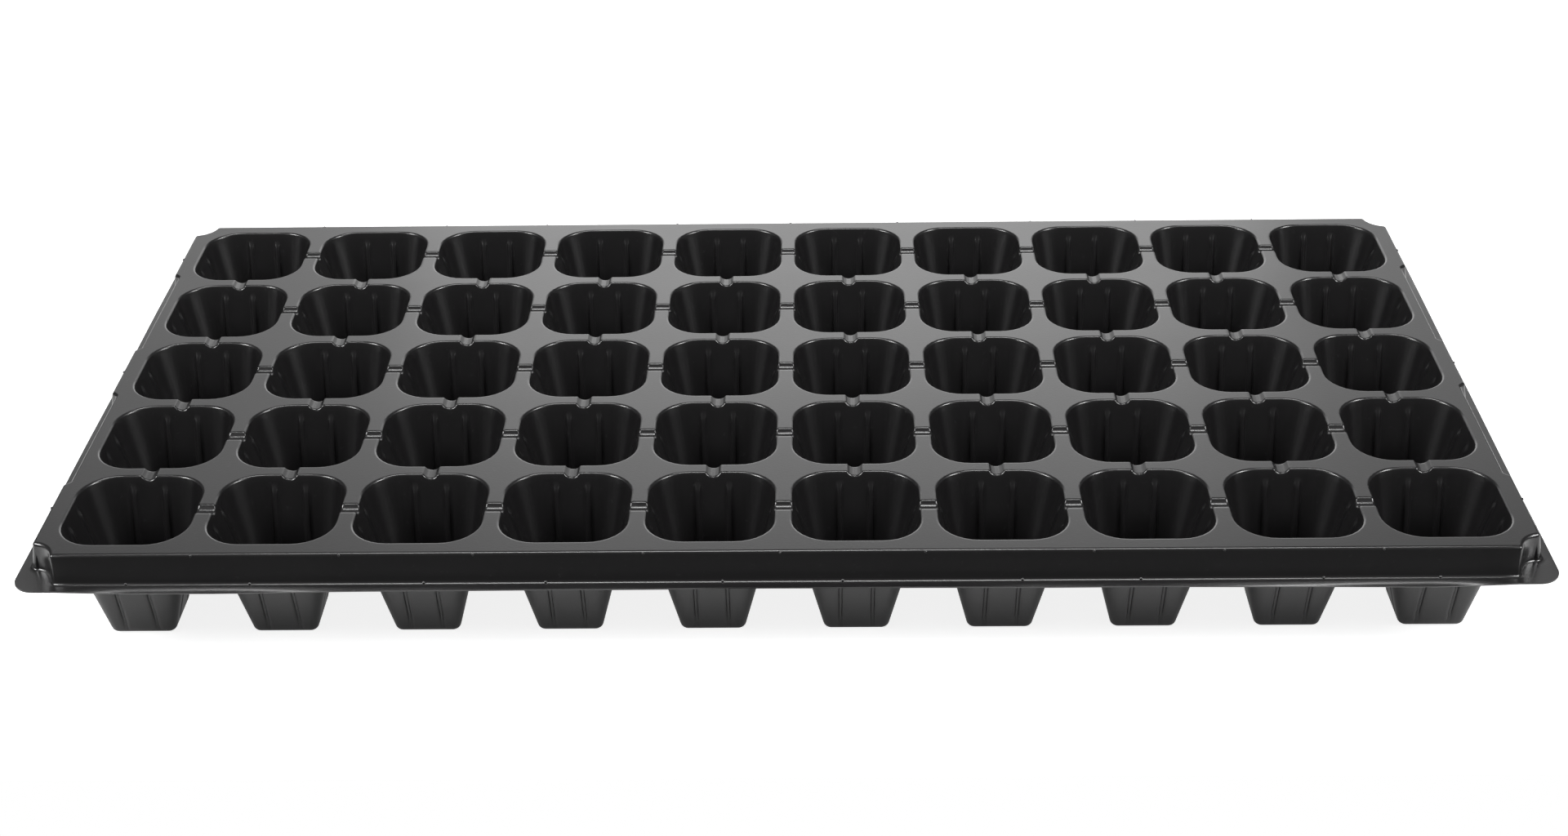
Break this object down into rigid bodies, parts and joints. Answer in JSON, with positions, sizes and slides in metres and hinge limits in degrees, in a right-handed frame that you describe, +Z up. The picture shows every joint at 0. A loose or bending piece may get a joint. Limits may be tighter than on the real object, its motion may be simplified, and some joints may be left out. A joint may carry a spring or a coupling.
{
  "type": "seed tray",
  "caption": "Black vacuum-formed plastic seed tray with tapered square cells, ribbed cell walls, water channels, drain holes and a flanged rim with notched corners.",
  "frame": {"origin": "middle of the tray, on the plane that the cell floors stand on", "axes": "+X along the long side to the right, +Y across the tray to the back, +Z up"},
  "size_m": [0.54, 0.28, 0.046],
  "materials": {
    "tray_sheet": "satin"
  },
  "bodies": {
    "root": {"row_a_floors": "tray_sheet", "row_b_floors": "tray_sheet", "row_c_floors": "tray_sheet", "row_d_floors": "tray_sheet", "row_e_floors": "tray_sheet", "row_a_walls": "tray_sheet", "row_b_walls": "tray_sheet", "row_c_walls": "tray_sheet", "row_d_walls": "tray_sheet", "row_e_walls": "tray_sheet", "row_a_corners": "tray_sheet", "row_b_corners": "tray_sheet", "row_c_corners": "tray_sheet", "row_d_corners": "tray_sheet", "row_e_corners": "tray_sheet", "deck_webs": "tray_sheet", "deck_crossings": "tray_sheet", "front_skirt": "tray_sheet", "back_skirt": "tray_sheet", "left_skirt": "tray_sheet", "right_skirt": "tray_sheet", "front_left_corner": "tray_sheet", "front_right_corner": "tray_sheet", "back_left_corner": "tray_sheet", "back_right_corner": "tray_sheet", "rim_flange": "tray_sheet"}
  },
  "joints": []
}
